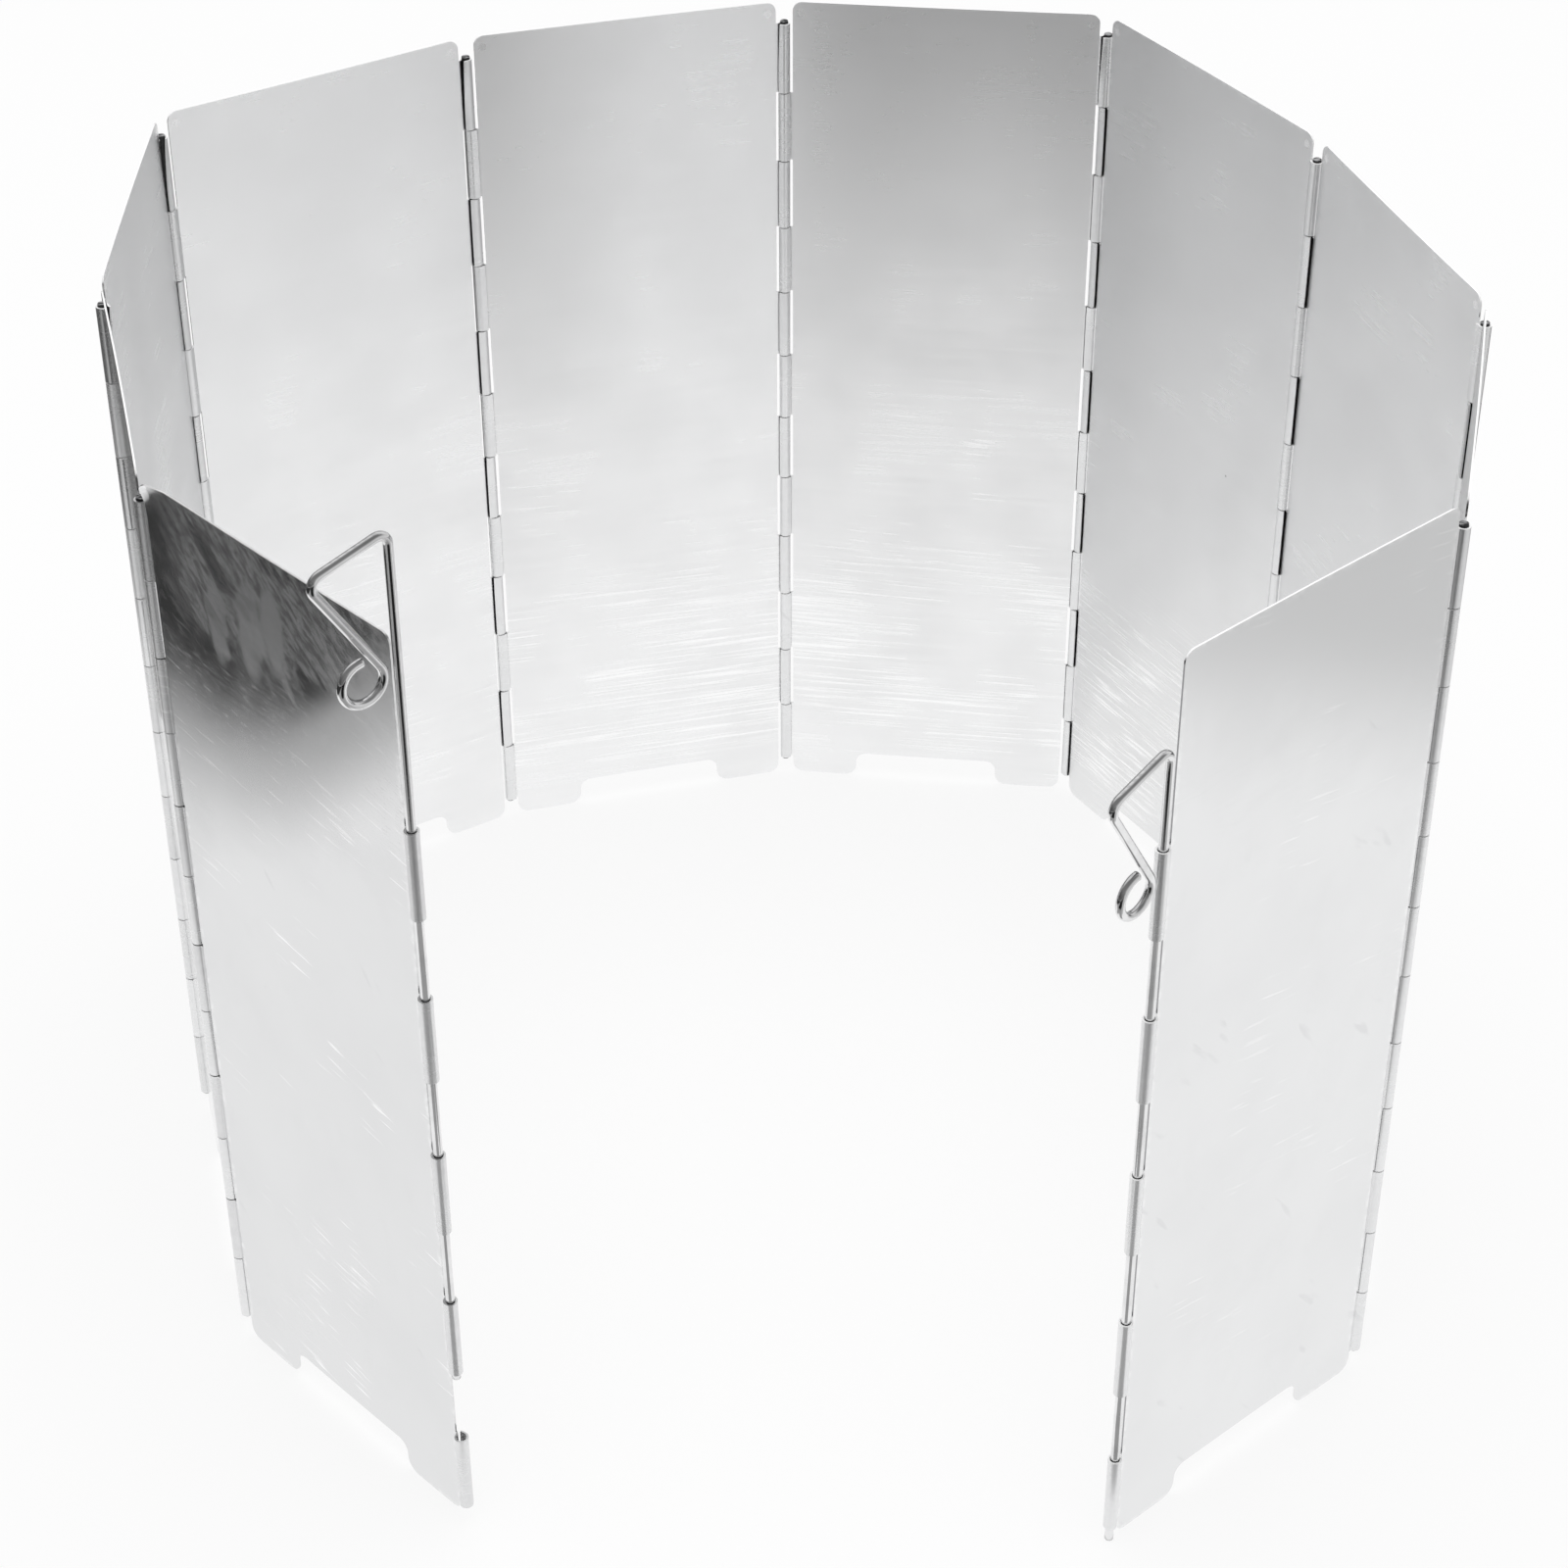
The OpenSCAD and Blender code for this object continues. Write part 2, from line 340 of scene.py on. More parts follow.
def lay_flag(name, corners, layer, colour=WHITE, shade=None):
    """Card on the floor that shows only in the metal; shade makes its brightness."""
    material, tree, shader = new_material(name)
    tree.nodes.remove(shader)
    glow = node(tree, "Emission", [("Color", colour), ("Strength", shade(tree) if shade else 1.0)])
    tree.links.new(glow.outputs[0], tree.nodes["Material Output"].inputs["Surface"])
    flag = flat_plane(name, corners, FLAG_LIFT * layer)
    flag.data.materials.append(material)
    flag.visible_camera = False
    flag.visible_diffuse = False
    flag.visible_shadow = False


def floor_spot(tree):
    """Place on the floor in millimetres."""
    return split(tree, stretch(tree, node(tree, "NewGeometry").outputs["Position"], PER_MM))


def past_border(tree, at, middle):
    """Distance inside the white sheet's curved left border, which bulges in at middle."""
    aside = calc(tree, "ABSOLUTE", calc(tree, "SUBTRACT", at["Y"], middle))
    aside = calc(tree, "MINIMUM", aside, CURVE_REACH)
    border = calc(tree, "MULTIPLY_ADD", calc(tree, "MULTIPLY", aside, aside), -SHEET_CURVE, SHEET_LEFT)
    return calc(tree, "SUBTRACT", at["X"], border)


def left_border(tree):
    """From the dark room to white: a soft step, then a slow fade."""
    at = floor_spot(tree)
    step = ramp(tree, past_border(tree, at, STEP_MIDDLE), STEP_FROM, STEP_TO, DARK, STEP_SHADE)
    fade = ramp(tree, past_border(tree, at, FADE_MIDDLE), FADE_FROM, FADE_TO, 0.0, 1.0 - STEP_SHADE)
    return calc(tree, "ADD", step, fade)


def right_border(tree):
    """From white to the grey room."""
    start, end = SHEET_RIGHT - RIGHT_FADE, SHEET_RIGHT + RIGHT_FADE
    return ramp(tree, floor_spot(tree)["X"], start, end, 1.0, GREY)


def wedge_side(side, y):
    """Where a side of the black card is at y."""
    start, slope = side
    return start + (SHEET_FRONT - y) * slope


def lay_flags():
    """The room round the white sheet: dark at the left, grey at the right, in front and behind, and
    black beyond the front's middle."""
    far = FLAG_FAR
    right = SHEET_RIGHT - RIGHT_FADE
    front_left = SHEET_LEFT - SHEET_CURVE * CURVE_REACH * CURVE_REACH
    lay_flag("left_flag", box_corners((-far, -far), (SHEET_LEFT + FADE_TO, far)), 1, shade=left_border)
    lay_flag("right_flag", box_corners((right, -far), (far, far)), 1, shade=right_border)
    lay_flag("back_flag", box_corners((-far, BACK_CORNER[1]), (BACK_CORNER[0], far)), 2, BACK_GREY)
    lay_flag("front_flag", box_corners((0, -far), (SHEET_RIGHT, SHEET_FRONT)), 2, FRONT_GREY)
    lay_flag("front_left_flag", box_corners((front_left, -far), (0, SHEET_FRONT)), 2, FRONT_LEFT_GREY)
    lay_flag("back_right_flag", box_corners(BACK_RIGHT_CORNER, (far, far)), 2, BACK_GREY)
    for layer, (back_from, back_to, front_from, front_to) in ((3, NEAR_LEFT), (4, NEAR_RIGHT)):
        near = [(back_from, NEAR_BACK), (front_from, WEDGE_FRONT)]
        near += [(front_to, WEDGE_FRONT), (back_to, NEAR_BACK)]
        lay_flag(f"near_flag_{layer}", near, layer, NEAR_GREY)
    wedge = [(wedge_side(WEDGE_LEFT, y), y) for y in (WEDGE_FRONT, -far)]
    wedge += [(wedge_side(WEDGE_RIGHT, y), y) for y in (-far, WEDGE_FRONT)]
    lay_flag("wedge_flag", wedge, 5, BLACK)


def hang_softbox():
    data = bpy.data.lights.new("softbox", "AREA")
    data.shape = "SQUARE"
    data.size = SOFTBOX_SIZE * MM
    data.energy = SOFTBOX_POWER
    lamp = bpy.data.objects.new("softbox", data)
    lamp.location = (0, 0, SOFTBOX_HEIGHT * MM)
    lamp.visible_glossy = False
    bpy.context.scene.collection.objects.link(lamp)


# Where the panels stand

def rod_axis(stake):
    """Plan position of a stake's rod, from the lowest slice of its solid."""
    points = [v.co for v in frame["nodes"][stake].data.vertices]
    low = min(p.z for p in points)
    tip = [p for p in points if p.z < low + WIRE_RADIUS * MM]
    middle = [(min(p[i] for p in tip) + max(p[i] for p in tip)) / 2 for i in (0, 1)]
    return Vector(middle)


def upright_axes():
    """Plan positions of the eleven upright axes, from the left stake to the right one."""
    axes = {0: rod_axis("stake_left"), PANELS: rod_axis("stake_right")}
    for joint in frame["joints"]:
        if joint["type"] == "hinge":
            axes[int(joint["name"].split("_")[1])] = Vector(joint["pos_m"][:2])
    return [axes[i] / MM for i in range(PANELS + 1)]


AXES = upright_axes()
PITCH = math.sqrt((AXES[5] - AXES[4]).length_squared - (2 * AXIS_OFFSET) ** 2)


def axis_side(i):
    """Odd axes lie just inside the sheets, even ones just outside."""
    return -AXIS_OFFSET if i % 2 else AXIS_OFFSET


def panel_place(n):
    """Matrix from panel n's own axes to the frame: x along the panel, y to its outside, z up."""
    first, last = AXES[n - 1], AXES[n]
    step = last - first
    heading = math.atan2(step.y, step.x) - math.atan2(axis_side(n) - axis_side(n - 1), PITCH)
    outside = Vector((-math.sin(heading), math.cos(heading)))
    corner = (first - axis_side(n - 1) * outside) * MM
    return Matrix.Translation((corner.x, corner.y, 0)) @ Matrix.Rotation(heading, 4, "Z")


def panel_body(n):
    if n == 1:
        return "end_panel_left"
    if n == PANELS:
        return "end_panel_right"
    return f"panel_{n}"


# Sheet outline

LEFT = EDGE_SETBACK
RIGHT = PITCH - EDGE_SETBACK
MIDDLE = PITCH / 2
ARC_STEPS = 6
SIDE_COLUMN = 4.5
MIDDLE_COLUMNS = (10.0, 4.0)
TINY = 0.004


def arc_drop(distance, radius):
    """How far a round corner falls short of its square one, at a distance from the side."""
    inside = max(radius - distance, 0.0)
    return radius - math.sqrt(max(radius * radius - inside * inside, 0.0))


def top_line(x):
    return HEIGHT - arc_drop(min(x - LEFT, RIGHT - x), TOP_CORNER)


def bottom_line(x):
    """Bottom edge, with rounded feet on both sides of the vent."""
    half = VENT_WIDTH / 2
    off = abs(x - MIDDLE)
    if off <= half:
        return VENT_HEIGHT - arc_drop(half - off, VENT_ROUND)
    if off <= half + FOOT_ROUND:
        return arc_drop(off - half, FOOT_ROUND)
    return arc_drop(min(x - LEFT, RIGHT - x), BOTTOM_CORNER)


def arc_steps(radius):
    """Distances along a side that divide a quarter round into equal angles."""
    return [radius * (1 - math.cos(math.radians(90 * k / ARC_STEPS))) for k in range(ARC_STEPS + 1)]


def columns():
    """Positions along the panel of the sheet's grid lines."""
    half = VENT_WIDTH / 2
    left = [LEFT + d for d in arc_steps(TOP_CORNER)]
    left += [MIDDLE - half - TINY - d for d in arc_steps(FOOT_ROUND)]
    left += [MIDDLE - half + TINY + d for d in arc_steps(VENT_ROUND)]
    left.append(LEFT + TOP_CORNER + SIDE_COLUMN)
    left += [MIDDLE - d for d in MIDDLE_COLUMNS]
    return sorted(left + [2 * MIDDLE - x for x in left])


# Knuckles along an edge, as (bottom, top) heights

def hinge_knuckles(first):
    """Every second slot from the top: first is 1 for the odd ones, 2 for the even ones."""
    slots = range(first, KNUCKLE_SLOTS + 1, 2)
    tops = [HEIGHT - HINGE_TOP - (k - 1) * SLOT - KNUCKLE_GAP / 2 for k in slots]
    return [(top - SLOT + KNUCKLE_GAP, top) for top in tops]


def free_knuckles():
    tops = [HEIGHT - FREE_FIRST - k * FREE_PITCH for k in range(FREE_COUNT)]
    return [(top - FREE_LENGTH, top) for top in tops]


def edge_knuckles(n):
    """Knuckles of panel n's left and right edges."""
    left = free_knuckles() if n == 1 else hinge_knuckles(2)
    right = free_knuckles() if n == PANELS else hinge_knuckles(1)
    return left, right


# Sheet surface

ROWS_PER_KNUCKLE = 6
ROWS_AT_TOP = (4.6, 3.6, 2.7, 1.9, 1.2, 0.6)
ROW_SQUEEZE = 0.12
EAR_REACH = 6.0
EAR_BEND = 0.058


def levels(n):
    """Heights of the sheet's inner grid lines: the ends of every knuckle, and steps between them."""
    found = set()
    for bottom, top in sum(edge_knuckles(n), []):
        for k in range(ROWS_PER_KNUCKLE + 1):
            found.add(round(bottom + (top - bottom) * k / ROWS_PER_KNUCKLE, 4))
    found.update(HEIGHT - below for below in ROWS_AT_TOP)
    return sorted(found)


def row_heights(n, x):
    """Heights of one grid column, kept in order between the bottom and top edges."""
    inner = levels(n)
    low, high = bottom_line(x), top_line(x)
    count = len(inner)
    heights = [low]
    for k, z in enumerate(inner):
        heights.append(min(max(z, low + (k + 1) * ROW_SQUEEZE), high - (count - k) * ROW_SQUEEZE))
    return heights + [high]


def sheet_bow(n, x, z):
    """Slight bow of the sheet; neighbours bow opposite ways, so the folded stack still nests."""
    across = math.sin(math.pi * (x - LEFT) / (RIGHT - LEFT))
    wave = BOW_STEADY + (1 - BOW_STEADY) * math.cos(2 * math.pi * z / HEIGHT)
    return (1 if n % 2 else -1) * BOW * across * wave


def dog_ear(n, x, z):
    """The left end panel's top corner at its hinge is curled outwards."""
    past = ((x - RIGHT) + (z - HEIGHT)) / math.sqrt(2) + EAR_REACH
    return EAR_BEND * past * past if n == 1 and past > 0 else 0.0


# Rolled knuckles

CURVE_STEPS = 8
BEND_FROM = 0.75
BEND_INTO = 0.35
ROLL_STEPS = 20

# How far the lip of each hinge's top knuckle is bent open, from hinge 1 to hinge 9
TOP_FLARES = (0.45, 0.9, 1.0, 0.6, 0.35, 0.5, 0.3, 0.7, 0.55)
FLARE_LENGTH = 15.0
FLARE_CURVE = 1.5
LIPS_CLOSED = {3: 0.3}
MOUTH_LENGTH = 1.2
MOUTH_FLARE = 0.06
BELL_LENGTH = 2.5
BELL = 0.05


def bezier(points, t):
    """Point of a cubic curve."""
    weights = ((1 - t) ** 3, 3 * t * (1 - t) ** 2, 3 * t * t * (1 - t), t ** 3)
    return sum((w * p for w, p in zip(weights, points)), Vector((0, 0)))


def roll_profile(side, roll, flare):
    """Middle line of a knuckle in plan, from the sheet's edge round the pin to the lip.
    x runs from the pin to the sheet, y to the outside; flare lifts the lip, from 0 to 1."""
    start, end = math.radians(ROLL_START), math.radians(ROLL_END)
    joint = Vector((roll * math.cos(start), side + roll * math.sin(start)))
    along = Vector((-math.sin(start), math.cos(start)))
    bend = Vector((EDGE_SETBACK - BEND_FROM, 0))
    neck = [Vector((EDGE_SETBACK, 0)), bend, joint - BEND_INTO * along, joint]
    points = [bezier(neck, k / CURVE_STEPS) for k in range(1, CURVE_STEPS + 1)]
    for k in range(1, ROLL_STEPS + 1):
        angle = start + (end - start) * k / ROLL_STEPS
        points.append(Vector((roll * math.cos(angle), side + roll * math.sin(angle))))
    leave = points[-1]
    onward = Vector((-math.sin(end), math.cos(end)))
    tip = Vector((EDGE_SETBACK - LIP_SHORT - FLARE_BACK * flare, -LIP_CLEAR - FLARE_LIFT * flare))
    reach = LIP_EASE * (tip - leave).length
    lip = [leave, leave + reach * onward, tip - reach * (tip - leave).normalized(), tip]
    return points + [bezier(lip, k / CURVE_STEPS) for k in range(1, CURVE_STEPS + 1)]


def flare_at(i, bottom, top, z):
    """Opening of a knuckle's lip at a height: a slight mouth at both ends, and the top one's flare."""
    mouth = max(0.0, 1 - min(z - bottom, top - z) / MOUTH_LENGTH) * MOUTH_FLARE
    mouth -= LIPS_CLOSED.get(i, 0.0)
    if 0 < i < PANELS and top > HEIGHT - HINGE_TOP - SLOT:
        return max(mouth, TOP_FLARES[i - 1] * max(0.0, 1 - (top - z) / FLARE_LENGTH) ** FLARE_CURVE)
    return mouth


def roll_radius(i, below_top):
    """Free knuckles hold their stake loosely, and open a little more at the top."""
    if 0 < i < PANELS:
        return ROLL_RADIUS
    return FREE_ROLL_RADIUS + BELL * max(0.0, 1 - below_top / BELL_LENGTH) ** 2


def roll_knuckle(points, faces, flat, i, knuckle, edge):
    """Adds a knuckle about axis i to a surface. edge is the sheet's border column with its heights."""
    bottom, top = knuckle
    leftward = edge["leftward"]
    strip = []
    for start, z in edge["column"]:
        if not bottom - TINY < z < top + TINY:
            continue
        line = [start]
        before, length = Vector((EDGE_SETBACK, 0)), 0.0
        for p in roll_profile(axis_side(i), roll_radius(i, top - z), flare_at(i, bottom, top, z)):
            length += (p - before).length
            before = p
            line.append(len(points))
            points.append((p.x if leftward else PITCH - p.x, p.y, z))
            flat.append((LEFT - length if leftward else RIGHT + length, z))
        strip.append(line)
    for low, high in zip(strip, strip[1:]):
        for k in range(len(low) - 1):
            face = (low[k + 1], low[k], high[k], high[k + 1])
            faces.append(face if leftward else face[::-1])


def panel_surface(n):
    """Points, faces and flat lengths of panel n's middle surface, in its own axes."""
    points, faces, flat, grid = [], [], [], []
    for x in columns():
        column = []
        for z in row_heights(n, x):
            column.append(len(points))
            points.append((x, sheet_bow(n, x, z) + dog_ear(n, x, z), z))
            flat.append((x, z))
        grid.append(column)
    for near, far in zip(grid, grid[1:]):
        for r in range(len(near) - 1):
            faces.append((near[r], far[r], far[r + 1], near[r + 1]))
    left, right = edge_knuckles(n)
    for knuckles, i, column, leftward in ((left, n - 1, grid[0], True), (right, n, grid[-1], False)):
        edge = {"column": list(zip(column[1:-1], levels(n))), "leftward": leftward}
        for knuckle in knuckles:
            roll_knuckle(points, faces, flat, i, knuckle, edge)
    return points, faces, flat


def mesh_object(name, points, faces, place):
    """Smooth mesh from points in millimetres, put in place by a matrix."""
    mesh = bpy.data.meshes.new(name)
    mesh.from_pydata([place @ (Vector(p) * MM) for p in points], [], faces)
    mesh.polygons.foreach_set("use_smooth", [True] * len(mesh.polygons))
    made = bpy.data.objects.new(name, mesh)
    bpy.context.scene.collection.objects.link(made)
    return made


def round_edges(piece, name, width):
    """Small rounding of a piece's sharp edges."""
    soft = piece.modifiers.new(name, "BEVEL")
    soft.width = width * MM
    soft.segments = ROUND_SEGMENTS
    soft.limit_method = "ANGLE"
    soft.angle_limit = math.radians(SHARP_ANGLE)
    return soft


def make_panel(n):
    """Panel n as one sheet of metal, rolled into knuckles along both edges."""
    points, faces, flat = panel_surface(n)
    body = panel_body(n)
    panel = mesh_object("rolled_" + body, points, faces, panel_place(n))
    uv = panel.data.uv_layers.new(name="flat")
    for loop in panel.data.loops:
        u, v = flat[loop.vertex_index]
        uv.data[loop.index].uv = (u / HEIGHT, v / HEIGHT)
    thick = panel.modifiers.new("sheet", "SOLIDIFY")
    thick.thickness = SHEET * MM
    thick.offset = 0.0
    thick.use_even_offset = True
    thick.material_offset = 1
    thick.material_offset_rim = 1
    round_edges(panel, "edges", EDGE_ROUND).harden_normals = True
    panel.data.materials.append(inner_finish(n))
    panel.data.materials.append(outer_finish(n))
    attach(panel, body)
    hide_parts(body)


# Wire stakes

RING = 20
BEND_STEPS = 8
LOOP_STEPS = 40
LONGEST_RUN = 2.5
CUT_ROUND = 0.2


def aim(degrees):
    return Vector((math.cos(math.radians(degrees)), math.sin(math.radians(degrees))))


def arc_points(centre, radius, start, sweep, steps):
    return [centre + radius * aim(start + sweep * k / steps) for k in range(steps + 1)]


def fill_runs(path):
    """The same path with points along its straight runs, so that their shading stays straight."""
    filled = [path[0]]
    for start, end in zip(path, path[1:]):
        steps = math.ceil((end - start).length / LONGEST_RUN)
        filled += [start.lerp(end, k / steps) for k in range(1, steps + 1)]
    return filled


def stake_path():
    """Middle line of the wire in the plane of the handle, with the rod's tip at the origin."""
    slope = -math.degrees(math.atan2(HANDLE_DROP, HANDLE_REACH))
    top_turn = 90 - slope
    top_run = TOP_BEND * math.tan(math.radians(top_turn / 2))
    outer_turn = 360 + slope - HANDLE_RETURN
    outer_run = OUTER_BEND * math.tan(math.radians(outer_turn / 2))
    outer_corner = Vector((HANDLE_REACH, STAKE_LENGTH - HANDLE_DROP))
    top_centre = Vector((TOP_BEND, STAKE_LENGTH - top_run))
    outer_centre = outer_corner - outer_run * aim(slope) + OUTER_BEND * aim(slope - 90)
    return_end = outer_corner + HANDLE_SIDE * aim(HANDLE_RETURN)
    loop_centre = return_end + LOOP_RADIUS * aim(HANDLE_RETURN + 90)
    path = [Vector((0, 0))]
    path += arc_points(top_centre, TOP_BEND, 180, -top_turn, BEND_STEPS)
    path += arc_points(outer_centre, OUTER_BEND, slope + 90, -outer_turn, BEND_STEPS)
    path += arc_points(loop_centre, LOOP_RADIUS, HANDLE_RETURN - 90, LOOP_SWEEP, LOOP_STEPS)
    return fill_runs(path)


def sweep_wire(path):
    """Round wire along a flat path, with both cut ends slightly rounded."""
    heads = [(path[0] - path[1]).normalized(), (path[-1] - path[-2]).normalized()]
    stations = [(path[0], WIRE_RADIUS - CUT_ROUND)]
    stations.append((path[0] - CUT_ROUND * heads[0], WIRE_RADIUS))
    stations += [(p, WIRE_RADIUS) for p in path[1:-1]]
    stations.append((path[-1] - CUT_ROUND * heads[1], WIRE_RADIUS))
    stations.append((path[-1], WIRE_RADIUS - CUT_ROUND))
    points, faces = [], []
    last = len(stations) - 1
    for k, (centre, radius) in enumerate(stations):
        before, after = stations[max(k - 1, 0)][0], stations[min(k + 1, last)][0]
        along = (after - before).normalized()
        across = Vector((-along.y, along.x))
        for j in range(RING):
            angle = 2 * math.pi * j / RING
            flat = centre + radius * math.cos(angle) * across
            points.append((flat.x, radius * math.sin(angle), flat.y))
    for k in range(last):
        for j in range(RING):
            a, b = k * RING + j, k * RING + (j + 1) % RING
            faces.append((a, b, b + RING, a + RING))
    faces.append(tuple(range(RING))[::-1])
    faces.append(tuple(range(last * RING, last * RING + RING)))
    return points, faces


def make_stake(side, axis):
    """One stake, turned to the direction in which its solid's handle points."""
    name = "stake_" + side
    corners = [v.co for v in frame["nodes"][name].data.vertices]
    handle = [p.to_2d() / MM - axis for p in corners]
    reach = sum((p for p in handle if p.length > HANDLE_REACH / 2), Vector((0, 0)))
    points, faces = sweep_wire(stake_path())
    place = Matrix.Translation((axis.x * MM, axis.y * MM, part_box(name)[0].z))
    place = place @ Matrix.Rotation(math.atan2(reach.y, reach.x), 4, "Z")
    stake = mesh_object("bent_" + name, points, faces, place)
    stake.data.materials.append(wire_material("stake_wire", STAKE_COLOUR, STAKE_ROUGHNESS))
    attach(stake, name)
    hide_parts(name)


# Finishes: colours, roughness, and how far the gloss is drawn out
INNER_COLOUR = (0.945, 0.947, 0.95)
OUTER_COLOUR = (0.82, 0.823, 0.827)
# Bright scuffs and wear, also used for painted highlights on dents and up-facing edges
SCUFF_AND_HIGHLIGHT_COLOUR = (0.98, 0.981, 0.983, 1)
# Dark pits, also used for painted shade on a side rim
PIT_AND_RIM_SHADE_COLOUR = (0.3, 0.3, 0.31, 1)
# Grey of grime, also used for panel 1's even film of painted shade
GRIME_AND_SHADE_COLOUR = (0.62, 0.62, 0.63, 1)
INNER_ROUGHNESS = 0.3
INNER_ANISOTROPY = 0.83
OUTER_ROUGHNESS = 0.115
OUTER_ANISOTROPY = 0.3
QUARTER_TURN = 0.25
INNER_BUMP = 0.25
OUTER_BUMP = 0.2
BUMP_DEPTH = 0.01

# What sets some faces apart, by panel number
# Panels 7 and 8 have their inner colour darkened: painted shade for the darker reflections they show
INNER_PAINTED_SHADE = {7: 0.9, 8: 0.93}
# Panels 1 and 10 have their outer colour darkened: painted shade for the darker reflections they show
OUTER_PAINTED_SHADE = {1: 0.94, 10: 0.985}
STREAKED = {4: 0.45, 7: 0.9}
STREAK_PITCH = {4: 0.045, 7: 0.06}
FLECKED = {4: 0.6, 5: 0.5, 6: 1.0}
RUBBED_PANEL = 6
HANDLED_PANEL = 1
SCRATCHED = {1: 0.9}
KNUCKLE_DULL = {3: 0.3}
# Faces turned up are painted bright, a painted highlight for the overhead light; none on panel 1
TOP_EDGE_HIGHLIGHT = {1: 0.0}
# Panel 10's upright side rims are painted dark: painted shade, not a stain
SIDE_RIM_SHADE = {10: 0.9}
# Panel 1's outer face gets an even grey film: painted shade for the shaded floor it mirrors, not grime
PAINTED_SHADE_FILM = {1: 0.12}

# How far the noise of one panel, and of its two faces, is moved from the next one's
PANEL_SHIFT = 137.0
FACE_SHIFT = 61.0
FACE_DEPTH = 900.0


def panel_coordinates(tree, n, side):
    """Place on a face of panel n in millimetres: moved by the face's own shift, then along and up."""
    flat = node(tree, "UVMap", uv_map="flat").outputs[0]
    parts = split(tree, stretch(tree, flat, (HEIGHT, HEIGHT, 0)))
    x, z = parts["X"], parts["Y"]
    along = calc(tree, "ADD", x, PANEL_SHIFT * n + FACE_SHIFT * side)
    moved = node(tree, "CombineXYZ", [("X", along), ("Y", FACE_DEPTH * side), ("Z", z)]).outputs[0]
    return moved, x, z


def off_middle(tree, x):
    """Distance from the panel's upright middle line."""
    return calc(tree, "ABSOLUTE", calc(tree, "SUBTRACT", x, MIDDLE))


def spot_mask(tree, across, up, centre, size, soft):
    """1 inside an ellipse on the panel, falling to 0 round its border."""
    dx = calc(tree, "DIVIDE", calc(tree, "SUBTRACT", across, centre[0]), size[0])
    dz = calc(tree, "DIVIDE", calc(tree, "SUBTRACT", up, centre[1]), size[1])
    far = calc(tree, "SQRT", calc(tree, "MULTIPLY_ADD", dx, dx, calc(tree, "MULTIPLY", dz, dz)))
    return ramp(tree, far, 1 + soft, 1 - soft)


def shaded(colour, share):
    """A colour's three numbers times a share, with full alpha."""
    return tuple(share * c for c in colour) + (1,)


def brush(tree, shader, amount):
    """Gloss drawn out across the rolling lines, which run along the panel."""
    shader.inputs["Anisotropic"].default_value = amount
    shader.inputs["Anisotropic Rotation"].default_value = QUARTER_TURN
    tangent = node(tree, "Tangent", direction_type="UV_MAP", uv_map="flat")
    join(tree, shader.inputs["Tangent"], tangent.outputs[0])


def set_finish(tree, shader, colour, metallic, rough, relief, strength):
    """Joins a finish to its shader; relief is the height for the bump."""
    bump = node(tree, "Bump", [("Strength", strength), ("Distance", BUMP_DEPTH * MM), ("Height", relief)])
    join(tree, shader.inputs["Base Color"], colour)
    join(tree, shader.inputs["Metallic"], metallic)
    join(tree, shader.inputs["Roughness"], rough)
    join(tree, shader.inputs["Normal"], bump.outputs[0])


# Marks on both faces; a pattern is its scale along x, y and z, its detail and its roughness
HAZE = ((0.03, 0.0, 0.03), 3.0, 0.55)
PIT_STRETCH = (1, 0.02, 1)
PIT_CELLS = 0.055
PIT_STEP = (0.03, 0.015)
PIT_CHANCE = 0.8
WEAR_WIDTH = 1.6
WEAR_NOISE = (0.35, 3.0, 0.6)
WEAR_STEP = (0.42, 0.62)
WEAR_BRIGHT = 0.5


def pit_mask(tree, moved):
    """Sparse small round pits."""
    flat = stretch(tree, moved, PIT_STRETCH)
    cells = node(tree, "TexVoronoi", [("Vector", flat), ("Scale", PIT_CELLS)])
    pick = split(tree, cells.outputs["Color"])[0]
    chosen = calc(tree, "GREATER_THAN", pick, PIT_CHANCE)
    return product(tree, ramp(tree, cells.outputs["Distance"], *PIT_STEP), chosen)


def edge_wear(tree, moved, x, z):
    """Rubbed border of the sheet, broken up by noise."""
    side = calc(tree, "MINIMUM", calc(tree, "SUBTRACT", x, LEFT), calc(tree, "SUBTRACT", RIGHT, x))
    end = calc(tree, "MINIMUM", z, calc(tree, "SUBTRACT", HEIGHT, z))
    border = ramp(tree, calc(tree, "MINIMUM", side, end), WEAR_WIDTH, 0.0)
    return product(tree, border, ramp(tree, noise(tree, moved, *WEAR_NOISE), *WEAR_STEP))


# Marks on the inner faces
INNER_LINES = ((0.025, 0.0, 0.9), 3.0, 0.6)
DENT_IN = 2.0
DENT_DOWN = 3.0
DENT_SIZE = (0.9, 0.9)
DENT_SOFT = 0.5
STREAK_FAN = 0.0006
STREAK_ALONG = 0.026
STREAK_UP = 1.4
STREAK_NOISE = (2.0, 0.55)
STREAK_STEP = (0.5, 0.66)
SHORT_STREAKS = ((0.06, 0.0, 1.5), 1.0, 0.5)
SHORT_STEP = (0.56, 0.7)
STREAK_PATCHES = ((0.035, 0.0, 0.03), 2.0, 0.5)
LOW_PATCH_STEP = (0.36, 0.52)
HIGH_PATCH_STEP = (0.52, 0.62)
STREAK_FADE = (95.0, 45.0)
STREAK_FOOT = (6.0, 18.0)
SHORT_FADE = (140.0, 100.0)
SHORT_SHARE = 0.6
FEW_STREAKS = 0.1
FLECKS = ((0.22, 0.0, 1.8), 1.0, 0.4)
FLECK_STEP = (0.66, 0.76)
FLECK_PATCHES = ((0.05, 0.0, 0.05), 1.0, 0.5)
FLECK_PATCH_STEP = (0.48, 0.62)
